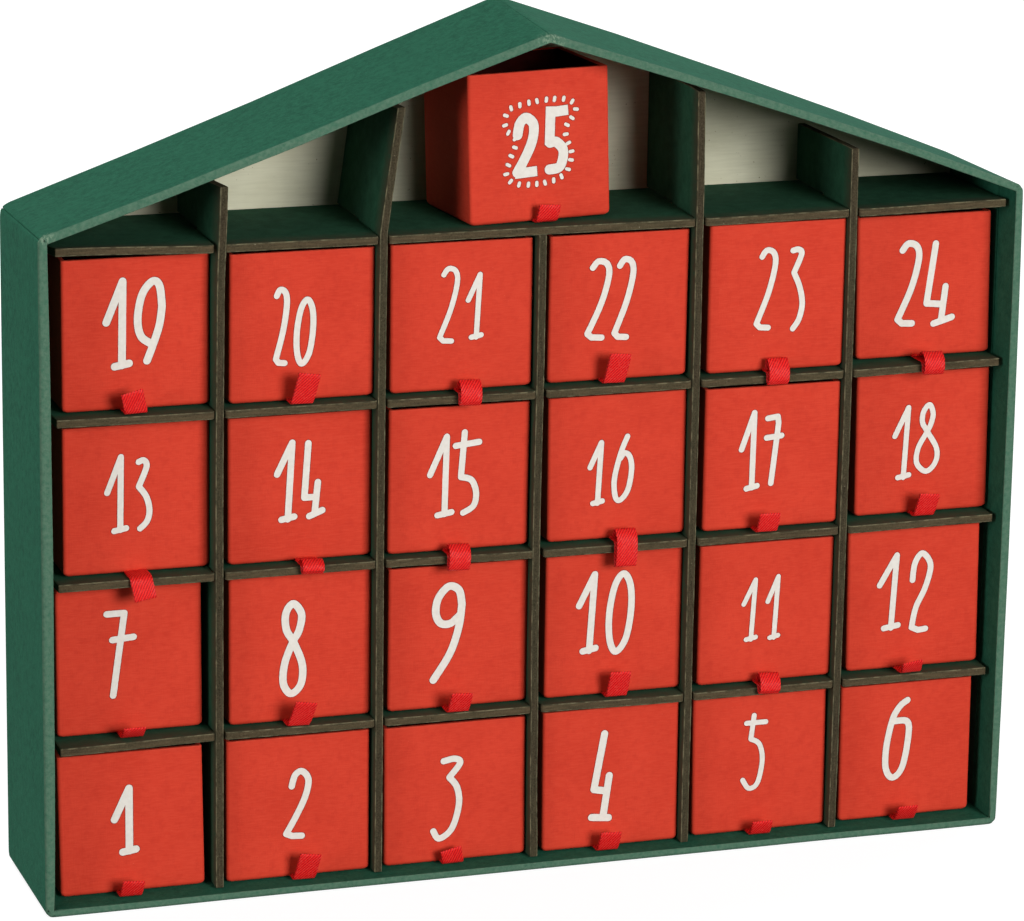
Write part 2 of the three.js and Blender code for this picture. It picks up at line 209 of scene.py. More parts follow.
# How each tray sits against its node, in mm, as the boxes are made by hand: how far right at its foot
# and at its top, how far forward, and how much taller it is
FITS = {
    1: (0.6, -0.3, 0, -0.6), 2: (-0.2, -0.3, 0.9, 0), 3: (-0.1, -0.4, 0.2, -0.4), 4: (0.1, -0.3, 1.3, 0.3),
    5: (0.3, -0.4, 1.4, -0.2), 6: (0.9, 0.5, 0, -0.5), 7: (-0.7, -1, 2.2, 0.6), 8: (0.3, 0.3, 4, 1.2),
    9: (0.2, 0.3, 1.8, 0.3), 10: (0.3, 0.3, 2.2, 0.4), 11: (0.3, 0.3, 1.6, 0.2), 12: (0.3, -0.5, 2, 0.6),
    13: (0.3, 0.3, 1.5, 0.3), 14: (0.3, 0.3, 1.6, 0.3), 15: (0.2, 0.4, 0, 0), 16: (0.3, 0, 1.6, 0.4),
    17: (0.3, 0.3, 1.3, 0.2), 18: (0.8, 0.2, 1.3, 0.4), 19: (0.3, 0.3, 2.8, 0.7), 20: (0.2, 0.5, 1.6, 0.3),
    21: (0, -0.1, 1.9, 0.5), 22: (-0.3, -0.1, 1.3, 0.4), 23: (0.3, 0.3, 3, 1.3), 24: (0.8, -0.2, 0.5, 0),
    25: (0.7, -1, 1.6, 0.6),
}
WIDER = {2: 0.5, 3: 1}  # in mm

# Print, in mm, as it is laid out in mm
PRINT_LIFT = 0.07
# the dark ring round the print, below, is painted shadow
PRINT_PAINTED_SHADOW_LIFT = 0.035
PRINT_SINK = 0.25
PRINT_PAINTED_SHADOW_WIDTH = 0.2
DOT_SIDES = 16
SLANT = 0.05  # digits lean this much to the right
DASHES = 31
DASH_LENGTH = 0.9
DASH_WIDTH = 1.1
DASH_SHAKE = 0.25  # the most that a dash is turned, in radians

# Ribbon pulls
RIBBON_WIDTH = 6.9 * MM
RIBBON_THICKNESS = 0.3 * MM
RIBBON_EDGE = 0.12 * MM  # its edges are rounded over this width
RIBBON_STEPS = 5  # between two points of its path
RIB_PERIOD = 0.78  # in mm, between the slanting ribs of the satin
LYING_HEIGHT = 0.02 * MM  # no part of a ribbon that lies on a shelf is lower
LYING_END = 0.4 * MM  # how far behind the shelf's edge it stops lying
LEAN_HEIGHT = 2.5 * MM  # a ribbon leans fully from this height up
SHELF_CLEARANCE = 0.35  # in mm


def screen(colour):
    """A 0 to 255 screen colour as linear light"""
    def linear(value):
        share = value / 255
        return share / 12.92 if share <= 0.04045 else ((share + 0.055) / 1.055) ** 2.4
    return (*[linear(value) for value in colour], 1.0)


# Materials

class Nodes:
    """A node tree, with one short call for each kind of node that is used here"""

    def __init__(self, tree):
        self.tree = tree

    def feed(self, socket, value):
        if isinstance(value, bpy.types.NodeSocket):
            self.tree.links.new(value, socket)
        else:
            socket.default_value = value

    def add(self, kind, sockets=None, **settings):
        """A new node whose sockets are fed by name or number"""
        node = self.tree.nodes.new(kind)
        for name, value in settings.items():
            setattr(node, name, value)
        for name, value in (sockets or {}).items():
            self.feed(node.inputs[name], value)
        return node

    def math(self, operation, first, second):
        return self.add("ShaderNodeMath", {0: first, 1: second}, operation=operation).outputs["Value"]

    def mix(self, factor, first, second):
        return self.add("ShaderNodeMix", {0: factor, 6: first, 7: second}, data_type="RGBA").outputs[2]

    def ramp(self, value, low, high):
        """A value, spread so that low becomes 0 and high becomes 1"""
        sockets = {"Value": value, "From Min": low, "From Max": high, "To Min": 0.0, "To Max": 1.0}
        return self.add("ShaderNodeMapRange", sockets).outputs["Result"]

    def here(self):
        """The point on the surface, in metres"""
        return self.add("ShaderNodeTexCoord").outputs["Object"]

    def noise(self, size, scale=(1, 1, 1), detail=3.0, rough=0.55):
        """Cloudy values whose blots are about size mm across"""
        place = self.add("ShaderNodeMapping", {"Vector": self.here(), "Scale": scale}).outputs["Vector"]
        sockets = {"Vector": place, "Scale": 1 / (size * MM), "Detail": detail, "Roughness": rough}
        return self.add("ShaderNodeTexNoise", sockets).outputs["Fac"]

    def blots(self, size, low, high, **settings):
        return self.ramp(self.noise(size, **settings), low, high)

    def weft(self):
        """The threads that run across linen paper"""
        return self.noise(0.34, scale=(0.09, 0.09, 1.0), detail=2, rough=0.5)

    def near(self, point, reach):
        """1 at a point, falling to 0 at reach from it"""
        away = self.add("ShaderNodeVectorMath", {0: self.here(), 1: point}, operation="DISTANCE")
        return self.math("SUBTRACT", 1.0, self.ramp(away.outputs["Value"], 0.0, reach))

    def shows_background(self):
        """1 for rays from the camera and for those that gloss and glass send on"""
        rays = self.add("ShaderNodeLightPath").outputs
        seen = self.math("MAXIMUM", rays["Is Camera Ray"], rays["Is Glossy Ray"])
        return self.math("MAXIMUM", seen, rays["Is Transmission Ray"])


class Look(Nodes):
    """A material, whose colours are laid over each other"""

    def __init__(self, name, roughness, specular):
        self.material = bpy.data.materials.new(name)
        self.material.use_nodes = True
        super().__init__(self.material.node_tree)
        self.shader = self.tree.nodes["Principled BSDF"].inputs
        self.shader["Roughness"].default_value = roughness
        self.shader["Specular IOR Level"].default_value = specular

    def begin(self, mask, dark, pale):
        """Starts with two colours, pale where the mask is 1"""
        self.colour = self.mix(mask, screen(dark), screen(pale))

    def over(self, mask, share, colour):
        """Lays a share of a colour over the others where the mask is 1"""
        self.colour = self.mix(self.math("MULTIPLY", mask, share), self.colour, screen(colour))

    def finish(self, height=None, depth=0):
        """Gives the shader its colour, and a relief that is depth mm deep"""
        self.feed(self.shader["Base Color"], self.colour)
        if height is not None:
            sockets = {"Height": height, "Strength": 1.0, "Distance": depth * MM}
            self.feed(self.shader["Normal"], self.add("ShaderNodeBump", sockets).outputs["Normal"])
        return self.material


RIDGE = (0.5 * MM, FRONT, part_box("left_roof")[1].z - 5 * MM)
LEFT_EAVE = (cad_box[0].x + 2 * MM, FRONT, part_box("left_wall")[1].z + 1 * MM)
WORN_SPOTS = [(RIDGE, 6 * MM), (LEFT_EAVE, 4 * MM)]


def wrapping_paper(name, rubbed_and_lit=0.0):
    """Uncoated green paper: cloudy, felted with short fibres, and made paler by the rubbed share, which
    stands for rubbed wear together with painted light on the front-facing rims
    """
    look = Look(name, roughness=0.85, specular=0.08)
    mottle = look.blots(2.4, 0.34, 0.66, detail=5, rough=0.68)
    felt = look.noise(0.7, rough=0.65)
    look.begin(mottle, GREEN_DEEP, GREEN)
    look.over(look.blots(22, 0.3, 0.7, detail=4), 0.35, GREEN)
    look.over(look.ramp(felt, 0.5, 0.75), 0.4, GREEN_PALE)
    look.over(look.blots(1.6, 0.58, 0.7, detail=4, rough=0.65), 0.6, GREEN_DEEP)
    look.over(look.blots(0.9, 0.66, 0.76, detail=4, rough=0.7), 0.45, GREEN_RUBBED_AND_PAINTED_LIGHT)
    # the rims made paler: rubbed wear together with painted light from the front
    if rubbed_and_lit:
        scuffs_and_light = look.blots(1.3, 0.3, 0.7, detail=4, rough=0.65)
        look.over(look.math("ADD", scuffs_and_light, 0.5), rubbed_and_lit, GREEN_RUBBED_AND_PAINTED_LIGHT)
    for point, reach in WORN_SPOTS:
        frays = look.blots(0.7, 0.48, 0.6, scale=(1, 1, 0.5), detail=4)
        look.over(look.math("MULTIPLY", look.near(point, reach), frays), 0.8, GREEN_FIBRE)
    return look.finish(look.math("ADD", felt, look.math("MULTIPLY", mottle, 0.8)), 0.07)


def grid_paper():
    """The dark green paper on the crossed boards' faces, worn brown along their fronts"""
    look = Look("grid_paper", roughness=0.85, specular=0.08)
    grain = look.noise(0.5)
    look.begin(look.blots(4, 0.3, 0.72, detail=5, rough=0.65), GRID_GREEN_DARK, GRID_GREEN)
    look.over(look.ramp(grain, 0.62, 0.8), 0.4, GREEN_PALE)
    depth = look.add("ShaderNodeSeparateXYZ", {"Vector": look.here()}).outputs["Y"]
    edge = look.ramp(depth, GRID_FRONT + GRID_WORN_DEPTH, GRID_FRONT)
    look.over(edge, look.blots(2.5, 0.2, 0.5, detail=4), GRID_WORN)
    return look.finish(grain, 0.04)


def cut_edge(name, layers, core, core_dark):
    """The bare edge of a board: fibres laid in layers across its thickness, along the axis layers"""
    look = Look(name, roughness=0.9, specular=0.06)
    along = [0.14, 0.14, 0.14]
    along[layers] = 1.4
    strata = look.blots(0.9, 0.36, 0.66, scale=along, detail=4, rough=0.65)
    grit = look.blots(0.6, 0.35, 0.7, rough=0.7)
    look.begin(strata, core_dark, core)
    look.over(look.blots(14, 0.35, 0.65), 0.3, CORE_MOSS)
    look.over(grit, 0.35, CORE_GRIT)
    look.over(look.blots(0.6, 0.72, 0.78, detail=2), 0.6, CORE_SPECK)
    return look.finish(look.math("ADD", strata, grit), 0.1)


def paper_edge():
    """The thin pale line where the green paper was cut through with its board"""
    look = Look("paper_edge", roughness=0.9, specular=0.06)
    breaks = look.blots(3.2, 0.4, 0.62, scale=(1, 0.4, 1), detail=4, rough=0.6)
    look.begin(breaks, PAPER_EDGE_DARK, PAPER_EDGE)
    return look.finish()


def lining_paper():
    """White paper on the inside, faintly laid, with a few dark specks"""
    look = Look("lining_paper", roughness=0.8, specular=0.1)
    lines = look.noise(0.9, scale=(0.08, 0.3, 1.2))
    look.begin(look.blots(18, 0.3, 0.7), WHITE_CLOUD, WHITE)
    look.over(look.ramp(lines, 0.4, 0.7), 0.25, WHITE_LAID)
    look.over(look.blots(1.1, 0.75, 0.79, detail=2, rough=0.4), 1, WHITE_SPECK)
    return look.finish(lines, 0.03)


def tray_paper(name, rubbed_and_lit=0.0):
    """Red paper with a fine linen grain, soft blots and stray pale fibres, made paler on the rims by the
    rubbed share as rubbed wear with a painted highlight
    """
    look = Look(name, roughness=0.75, specular=0.1)
    weft = look.weft()
    warp = look.noise(0.34, scale=(1.0, 1.0, 0.12), detail=2, rough=0.5)
    look.begin(look.blots(20, 0.32, 0.7), RED_DEEP, RED)
    look.over(look.ramp(weft, 0.4, 0.62), 0.28, RED_WEFT)
    look.over(look.blots(2.8, 0.48, 0.72, detail=5, rough=0.65), 0.45, RED_BLOT)
    look.over(look.blots(0.8, 0.735, 0.78, scale=(0.6, 1, 1), rough=0.75), 0.75, RED_FLECK)
    # the rims made paler: rubbed wear with a painted highlight along the top edge
    if rubbed_and_lit:
        look.over(look.blots(2.2, 0.38, 0.7, detail=4), rubbed_and_lit, RED_RUBBED_AND_PAINTED_HIGHLIGHT)
    return look.finish(look.math("ADD", weft, look.math("MULTIPLY", warp, 0.6)), 0.05)


def tray_inside_painted_shade():
    """The turned-in red paper on the inside of a tray, painted far darker than the outside as painted shade
    """
    look = Look("tray_inside_painted_shade", roughness=0.85, specular=0.06)
    look.begin(look.blots(4, 0.3, 0.7, detail=4), RED_INSIDE_PAINTED_SHADE_DARK, RED_INSIDE_PAINTED_SHADE)
    return look.finish(look.noise(0.6), 0.04)


def satin():
    """Red satin ribbon with fine slanting ribs, laid out on its own length and width"""
    look = Look("ribbon_satin", roughness=0.45, specular=0.2)
    laid_out = look.add("ShaderNodeUVMap", uv_map="ribbon").outputs["UV"]
    turned = look.add("ShaderNodeMapping", {"Vector": laid_out, "Rotation": (0, 0, math.radians(35))})
    wave_scale = 2 * math.pi / (20 * RIB_PERIOD)  # the node's waves are 2 pi / 20 long
    sockets = {"Vector": turned.outputs["Vector"], "Scale": wave_scale, "Distortion": 0.3}
    rib = look.add("ShaderNodeTexWave", sockets, wave_type="BANDS", bands_direction="X").outputs["Fac"]
    look.begin(rib, RIBBON_DEEP, RIBBON)
    look.over(look.blots(0.5, 0.5, 0.75), 0.4, RIBBON_THREAD)
    return look.finish(rib, 0.12)


def number_print():
    """Cream print, a little uneven over the linen grain"""
    look = Look("number_print", roughness=0.7, specular=0.12)
    look.begin(look.blots(1.4, 0.3, 0.75, detail=4), PRINT_CLOUD, PRINT)
    return look.finish(look.weft(), 0.03)


def print_painted_shadow():
    """A dark red-brown ring round the print: painted shadow"""
    look = Look("print_painted_shadow", roughness=0.8, specular=0.08)
    look.begin(look.blots(0.8, 0.4, 0.7), PRINT_PAINTED_SHADOW, RED_BLOT)
    return look.finish()


MATERIALS = {
    "case": wrapping_paper("case_paper"),
    # the front rims: rubbed wear and painted light
    "case_rim_worn_and_lit": wrapping_paper("case_rim_worn_and_lit_paper", rubbed_and_lit=0.7),
    "grid": grid_paper(),
    "shelf_edge": cut_edge("shelf_cut_edge", 2, SHELF_CORE, SHELF_CORE_DARK),
    "divider_edge": cut_edge("divider_cut_edge", 0, DIVIDER_CORE, DIVIDER_CORE_DARK),
    "paper_edge": paper_edge(),
    "lining": lining_paper(),
    "tray": tray_paper("tray_paper"),
    # the trays' top rims: rubbed wear and a painted highlight
    "tray_rim_worn_and_lit": tray_paper("tray_rim_worn_and_lit_paper", rubbed_and_lit=0.45),
    # the trays' inside, painted dark as painted shade
    "tray_inside_painted_shade": tray_inside_painted_shade(),
    "ribbon": satin(),
    "print": number_print(),
    "print_painted_shadow": print_painted_shadow(),
}


# Meshes

def add_piece(mesh, body, materials, replaced=None):
    """Puts a finished mesh in the scene as a piece that rides on a body"""
    for material in materials:
        mesh.materials.append(MATERIALS[material])
    piece = bpy.data.objects.new(mesh.name, mesh)
    bpy.context.scene.collection.objects.link(piece)
    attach(piece, body)
    if replaced:
        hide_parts(replaced)
    return piece


def smooth(mesh, angle):
    """Shades a mesh smooth across edges that turn less than angle, in degrees"""
    mesh.shade_smooth()
    work = bmesh.new()
    work.from_mesh(mesh)
    for edge in work.edges:
        edge.smooth = not edge.is_manifold or edge.calc_face_angle() < math.radians(angle)
    work.to_mesh(mesh)
    work.free()


def keep_flats(piece):
    modifier = piece.modifiers.new("flats", "WEIGHTED_NORMAL")
    modifier.weight = 100
    modifier.keep_sharp = True


def add_board(work, node, kind, materials, angle=32):
    """Turns a worked board into the piece that replaces its node"""
    mesh = bpy.data.meshes.new(f"{node}_{kind}")
    work.to_mesh(mesh)
    work.free()
    smooth(mesh, angle)
    return add_piece(mesh, "house", materials, node)


def solid(name, verts, faces, indices=()):
    """A mesh from its points and faces, with each face's number of material"""
    mesh = bpy.data.meshes.new(name)
    mesh.from_pydata(verts, [], faces)
    for polygon, index in zip(mesh.polygons, indices):
        polygon.material_index = index
    return mesh


def skin(rows, size):
    """The faces of a closed skin over rows of size points, first its sides and then its two ends"""
    faces = []
    for here in range(0, (rows - 1) * size, size):
        for index in range(size):
            ahead = (index + 1) % size
            faces.append((here + index, here + ahead, here + size + ahead, here + size + index))
    last = (rows - 1) * size
    return faces + [tuple(reversed(range(size))), tuple(range(last, last + size))]


def whole_faces(node, twisted):
    """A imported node's surface with its triangles joined back into whole faces"""
    work = bmesh.new()
    work.from_mesh(nodes[node].data)
    bmesh.ops.remove_doubles(work, verts=work.verts, dist=1e-6)
    if twisted:
        bmesh.ops.join_triangles(
            work, faces=work.faces, angle_face_threshold=math.radians(4), angle_shape_threshold=math.pi
        )
    else:
        bmesh.ops.dissolve_limit(work, angle_limit=math.radians(0.4), verts=work.verts, edges=work.edges)
    return work


def cut(work, point, normal, parts=None):
    """Cuts a board, or only some of its parts, along a plane"""
    parts = parts or work.verts[:] + work.edges[:] + work.faces[:]
    bmesh.ops.bisect_plane(work, geom=parts, plane_co=point, plane_no=normal, dist=1e-7)


def slice_along(work, axis):
    """Cuts a board across every few millimetres, so that its rims can stray from straight"""
    corners = {vertex.co[axis] for vertex in work.verts}
    low, high = min(corners), max(corners)
    count = int((high - low) / CUT_SPACING)
    normal = [0, 0, 0]
    normal[axis] = 1
    for step in range(1, count):
        point = [0, 0, 0]
        point[axis] = low + (high - low) * step / count
        if min(abs(point[axis] - corner) for corner in corners) >= CUT_CLEARANCE:
            cut(work, point, normal)


def round_edges(work, radius):
    """Rounds off a board's sharp edges and gives the faces that this makes"""
    sharp = [edge for edge in work.edges if edge.is_manifold and edge.calc_face_angle() > SHARP]
    made = bmesh.ops.bevel(
        work, geom=sharp, offset=radius, offset_type="OFFSET", segments=3, profile=0.5,
        affect="EDGES", clamp_overlap=True,
    )
    return set(made["faces"])


def fade(vertex, front, depth):
    """1 at a board's front, falling to 0 at depth behind it"""
    return max(0.0, 1 - (vertex.co.y - front) / depth)


def wave_rims(work, seed):
    """Lets the front rims stray a little, as hand-wrapped boards do"""
    front = min(vertex.co.y for vertex in work.verts)
    for vertex in work.verts:
        share = fade(vertex, front, RIM_WAVE_DEPTH)
        field = vertex.co / RIM_WAVE_LENGTH + Vector((seed, 0, 0))
        vertex.co += noise.noise_vector(field) * RIM_WAVE * share * share


def value_at(steps, place, eased=False):
    """The value at a place from 0 to 1 along even steps"""
    place = min(max(place, 0.0), 1.0) * (len(steps) - 1)
    index = min(int(place), len(steps) - 2)
    part = place - index
    if eased:
        part = part * part * (3 - 2 * part)
    return steps[index] * (1 - part) + steps[index + 1] * part


# Case

MIDDLE = (cad_box[0] + cad_box[1]) / 2
MIDDLE.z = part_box("shelf_2")[0].z


def how_deep(vertex):
    """0 at the front of the case and 1 at its back"""
    return (vertex.co.y - FRONT) / (BACK - FRONT)


def lift(work, foot=RISE_FOOT, height=RISE_HEIGHT):
    """Lifts a board with the roofs, by more the higher it is above foot"""
    width = cad_box[1].x - cad_box[0].x
    for vertex in work.verts:
        share = min(max((vertex.co.z - foot) / height, 0.0), 1.0)
        place = min((vertex.co.x - cad_box[0].x) / width, RISE_END)
        deep = how_deep(vertex)
        front, back = value_at(FRONT_RISE, place), value_at(BACK_RISE, place)
        vertex.co.z += share * (front * (1 - deep) + back * deep) * MM


def is_mitre(face):
    """Whether a face is one of a case board's two ends, which are as wide as the board is thick"""
    if abs(face.normal.y) > 0.5:
        return False
    nearest = min(vertex.co.y for vertex in face.verts)
    row = [vertex.co for vertex in face.verts if vertex.co.y < nearest + MM]
    width = max((one - other).length for one in row for other in row)
    return MITRE_WIDTHS[0] < width < MITRE_WIDTHS[1]


def sides_of(mitre):
    """A mitre's corners on the outside of the case, and those on its inside"""
    rows = {}
    for vertex in mitre.verts:
        rows.setdefault(round(vertex.co.y / MM), []).append(vertex)
    for row in rows.values():
        row.sort(key=lambda vertex: (vertex.co - MIDDLE).cross(Vector((0, 1, 0))).length)
    return [row[-1] for row in rows.values()], [row[0] for row in rows.values()]


def outside_faces(work):
    faces = [face for face in work.faces if abs(face.normal.y) < 0.5 and not is_mitre(face)]
    return [face for face in faces if face.normal.dot(face.calc_center_median() - MIDDLE) > 0]


def find_creases(work):
    """Each mitre's outer corners, their common line, the way into the board and the way to its inside"""
    widest = max(outside_faces(work), key=lambda face: face.calc_area())
    creases = []
    for face in work.faces:
        if not is_mitre(face):
            continue
        outer, inner = sides_of(face)
        outer.sort(key=lambda vertex: vertex.co.y)
        start = outer[0].co.copy()
        line = (outer[-1].co - start).normalized()
        into = line.cross(widest.normal).normalized()
        if into.dot(widest.calc_center_median() - start) < 0:
            into = -into
        slide = min(inner, key=lambda vertex: abs(vertex.co.y - start.y)).co - start
        slide.y = 0
        creases.append((set(outer), start, line, into, slide.normalized()))
    return creases


def round_off(work):
    """Rounds off the outside of a case board toward its mitres, by more toward the back"""
    creases = find_creases(work)
    for _, start, _, into, _ in creases:
        for share in CREASE_CUTS:
            faces = outside_faces(work)
            edges = {edge for face in faces for edge in face.edges}
            verts = {vertex for face in faces for vertex in face.verts}
            cut(work, start + into * CREASE_REACH * share, into, [*verts, *edges, *faces])
        work.normal_update()
    moves = {}
    for vertex in {vertex for face in outside_faces(work) for vertex in face.verts}:
        depth = CREASE_DEPTH_FRONT + (CREASE_DEPTH - CREASE_DEPTH_FRONT) * how_deep(vertex)
        for corners, start, line, into, slide in creases:
            away = vertex.co - start
            away -= away.dot(line) * line
            share = max(0.0, 1 - away.length / CREASE_REACH) ** 2
            move = slide if vertex in corners else slide - slide.dot(into) * into
            moves[vertex] = moves.get(vertex, Vector()) + move * share * depth
    for vertex, move in moves.items():
        vertex.co += move


def close_seams(work):
    """Brings a case board's mitres up to their neighbours, but for a thin groove on the outside"""
    for face in [face for face in work.faces if is_mitre(face)]:
        outer, inner = sides_of(face)
        for vertex in inner:
            vertex.co += face.normal * SEAM_CLOSING
        for vertex in outer:
            groove = 0 if vertex.co.y < FRONT + MM else SEAM_GROOVE * (1 - SEAM_FADE * how_deep(vertex))
            vertex.co += face.normal * (SEAM_CLOSING - groove)


def rim_share(edge):
    """How much of the full edge radius a case board's edge has"""
    if not edge.is_manifold or edge.calc_face_angle() < SHARP:
        return 0.0
    side, rim = sorted(edge.link_faces, key=lambda face: abs(face.normal.y))
    if is_mitre(side) or is_mitre(rim) or abs(rim.normal.y) < 0.5:
        return 0.0
    if rim.normal.y > 0:
        return BACK_EDGE_SHARE
    centre = (edge.verts[0].co + edge.verts[1].co) / 2
    return 1.0 if side.normal.dot(centre - MIDDLE) > 0 else INNER_EDGE_SHARE


def swell_rim(work, node):
    """Makes a wall's rim look as thick as its folded paper makes it"""
    low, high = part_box(node)
    for vertex in work.verts:
        if vertex.co.x > (low.x + high.x) / 2:
            share = fade(vertex, FRONT, RIM_SWELLING_DEPTH)
            height = min(max((vertex.co.z - low.z) / (high.z - low.z), 0.0), 1.0)
            vertex.co.x += RIM_SWELLING[node] * share * math.sin(math.pi * height) ** 0.5


def make_case_board(node):
    """A wrapped board whose front edges are rounded by the paper that turns over them"""
    is_roof = node.endswith("roof")
    work = whole_faces(node, twisted=is_roof)
    if not is_roof:
        slice_along(work, 0 if node == "bottom_board" else 2)
    work.normal_update()
    round_off(work)
    cut(work, (0, FRONT + SEAM_FRONT, 0), (0, 1, 0))
    work.normal_update()
    close_seams(work)
    work.normal_update()
    shares = [rim_share(edge) for edge in work.edges]
    # faces that look to the front take the rim paper, painted paler as painted light besides rubbed wear
    for face in work.faces:
        face.material_index = int(face.normal.y < -0.7)
    wave_rims(work, 0)
    if node in RIM_SWELLING:
        swell_rim(work, node)
    lift(work)
    piece = add_board(work, node, "board", ("case", "case_rim_worn_and_lit"), angle=50)
    weights = piece.data.attributes.new("bevel_weight_edge", "FLOAT", "EDGE")
    for index, share in enumerate(shares):
        weights.data[index].value = share
    bevel = piece.modifiers.new("edges", "BEVEL")
    bevel.limit_method = "WEIGHT"
    bevel.width = BOARD_EDGE_RADIUS
    bevel.segments = 4
    bevel.material = 1
    bevel.use_clamp_overlap = False
    keep_flats(piece)


def make_back_panel():
    work = whole_faces("back_panel", twisted=False)
    slice_along(work, 0)
    round_edges(work, BOARD_EDGE_RADIUS * BACK_EDGE_SHARE)
    lift(work)
    keep_flats(add_board(work, "back_panel", "board", ("case",)))


def make_lining(node):
    """A sheet of paper that follows the boards it is glued to: green on the walls, white elsewhere"""
    is_roof = "roof" in node
    work = whole_faces(node, twisted=is_roof)
    slice_along(work, 0 if is_roof or node == "back_lining" else 2)
    lift(work)
    material = "case" if "wall" in node else "lining"
    keep_flats(add_board(work, node, "sheet", (material,)))


def make_case():
    for node in ("bottom_board", "left_wall", "right_wall", "left_roof", "right_roof"):
        make_case_board(node)
    make_back_panel()
    for node in nodes:
        if "lining" in node:
            make_lining(node)


# Grid

def bend(work, node, along, across):
    """Bends a board's front a little, by the node's steps along one axis and out along another"""
    places = [vertex.co[along] for vertex in work.verts]
    low, high = min(places), max(places)
    front = min(vertex.co.y for vertex in work.verts)
    for vertex in work.verts:
        offset = value_at(BENDS[node], (vertex.co[along] - low) / (high - low), eased=True)
        share = fade(vertex, front, BEND_DEPTH)
        vertex.co[across] += offset * MM * share * share


def make_grid_board(node, along, across, edge_material):
    """A board of the grid: paper on its faces, a bare cut edge all round and a pale line between them"""
    work = whole_faces(node, twisted=False)
    slice_along(work, along)
    slice_along(work, 1)
    rounded = round_edges(work, GRID_EDGE_RADIUS)
    work.normal_update()
    for face in work.faces:
        flatness = abs(face.normal[across])
        if flatness > 0.93:
            face.material_index = 0
        else:
            face.material_index = 2 if face in rounded and flatness > 0.15 else 1
    wave_rims(work, 3)
    bend(work, node, along, across)
    if along == 2:
        lift(work, DIVIDER_RISE_FOOT, DIVIDER_RISE_HEIGHT)
    keep_flats(add_board(work, node, "board", ("grid", edge_material, "paper_edge")))


def make_grid():
    for node in ("shelf_1", "shelf_2", "shelf_3", "attic_floor"):
        make_grid_board(node, along=0, across=2, edge_material="shelf_edge")
    for index in range(1, 6):
        make_grid_board(f"divider_{index}", along=2, across=0, edge_material="divider_edge")


# Trays

Tray = namedtuple("Tray", "number body half depth height place bulge")
OUTSIDE, RIM, INSIDE = range(3)


def out_of_square(number, height):
    """How a tray's box stands askew, as a matrix in the tray's own frame"""
    foot, top = (value * MM for value in FITS[number][:2])
    askew = Matrix.Translation((foot, 0, 0))
    askew[0][2] = (top - foot) / height
    if number == ATTIC_TRAY:
        askew[0][0] = ATTIC_TRAY_WIDER
        askew[2][0] = ATTIC_TRAY_TILT
    return askew


def find_tray(number):
    """A tray's size and place, taken from its node without the ribbon"""
    name = f"tray_{number:02d}"
    turn = ATTIC_TURN if number == ATTIC_TRAY else 0.0
    unturned = Matrix.Rotation(-turn, 4, "Z")
    points = [unturned @ vertex.co for vertex in nodes[name].data.vertices]
    top = max(point.z for point in points)
    rim = [point for point in points if point.z > top - MM]
    left = min(point.x for point in rim)
    right = max(point.x for point in rim)
    near = min(point.y for point in rim)
    far = max(point.y for point in rim)
    foot = min(point.z for point in points if point.y > near + 3 * MM)
    forward, taller = (value * MM for value in FITS[number][2:])
    height = top - foot + taller
    half = (right - left + WIDER.get(number, 0) * MM) / 2
    corner = Matrix.Translation(((left + right) / 2, near - forward, foot))
    place = Matrix.Rotation(turn, 4, "Z") @ corner @ out_of_square(number, height)
    bulge = random.uniform(-0.4, 1.0) * TRAY_BULGE
    return Tray(number, name, half, far - near, height, place, bulge)


def swell(tray, x, z):
    """How far the tray's front stands out at a point on it"""
    across = max(0.0, 1 - (x / (tray.half * 0.96)) ** 2)
    upward = max(0.0, 1 - ((z / tray.height - 0.5) / 0.47) ** 2)
    return tray.bulge * across * upward


def rounded_loop(tray, inset, radius):
    """A rounded rectangle seen from above, anticlockwise, with the same number of points each time"""
    low_x, high_x = -tray.half + inset, tray.half - inset
    low_y, high_y = inset, tray.depth - inset
    corners = [(high_x, low_y), (high_x, high_y), (low_x, high_y), (low_x, low_y)]
    inward = [(-1, 1), (-1, -1), (1, -1), (1, 1)]
    points = []
    for turn, ((x, y), (to_x, to_y)) in enumerate(zip(corners, inward)):
        centre_x, centre_y = x + to_x * radius, y + to_y * radius
        for step in range(ARC_STEPS + 1):
            angle = math.radians(90 * (turn - 1) + 90 * step / ARC_STEPS)
            points.append((centre_x + radius * math.cos(angle), centre_y + radius * math.sin(angle)))
    filled = []
    for index, point in enumerate(points):
        filled.append(point)
        if index % (ARC_STEPS + 1) == ARC_STEPS:
            ahead = points[(index + 1) % len(points)]
            for step in range(1, SIDE_STEPS):
                share = step / SIDE_STEPS
                filled.append(tuple(a + (b - a) * share for a, b in zip(point, ahead)))
    return filled


def tray_loops(tray):
    """The loops of a tray's outside, rim and inside: how far in each is, how high, and its region"""
    arc = [math.radians(90 * step / ARC_STEPS) for step in range(ARC_STEPS + 1)]
    low, high = TRAY_FOOT_RADIUS, tray.height - TRAY_RIM_RADIUS
    loops = [(low * (1 - math.sin(angle)), low * (1 - math.cos(angle)), OUTSIDE) for angle in arc]
    for step in range(1, SIDE_STEPS + 1):
        loops.append((0, low + (high - low) * step / SIDE_STEPS, OUTSIDE))
    turn = TRAY_RIM_RADIUS
    rim = [(turn * (1 - math.cos(angle)), high + turn * math.sin(angle)) for angle in arc]
    loops += [(inset, height, RIM) for inset, height in rim[1:]]
    loops += [(TRAY_WALL - inset, height, RIM) for inset, height in reversed(rim[:-1])]
    for angle in reversed(arc):
        inset = TRAY_WALL + TRAY_INNER_RADIUS * (1 - math.sin(angle))
        loops.append((inset, TRAY_FLOOR + TRAY_INNER_RADIUS * (1 - math.cos(angle)), INSIDE))
    return loops


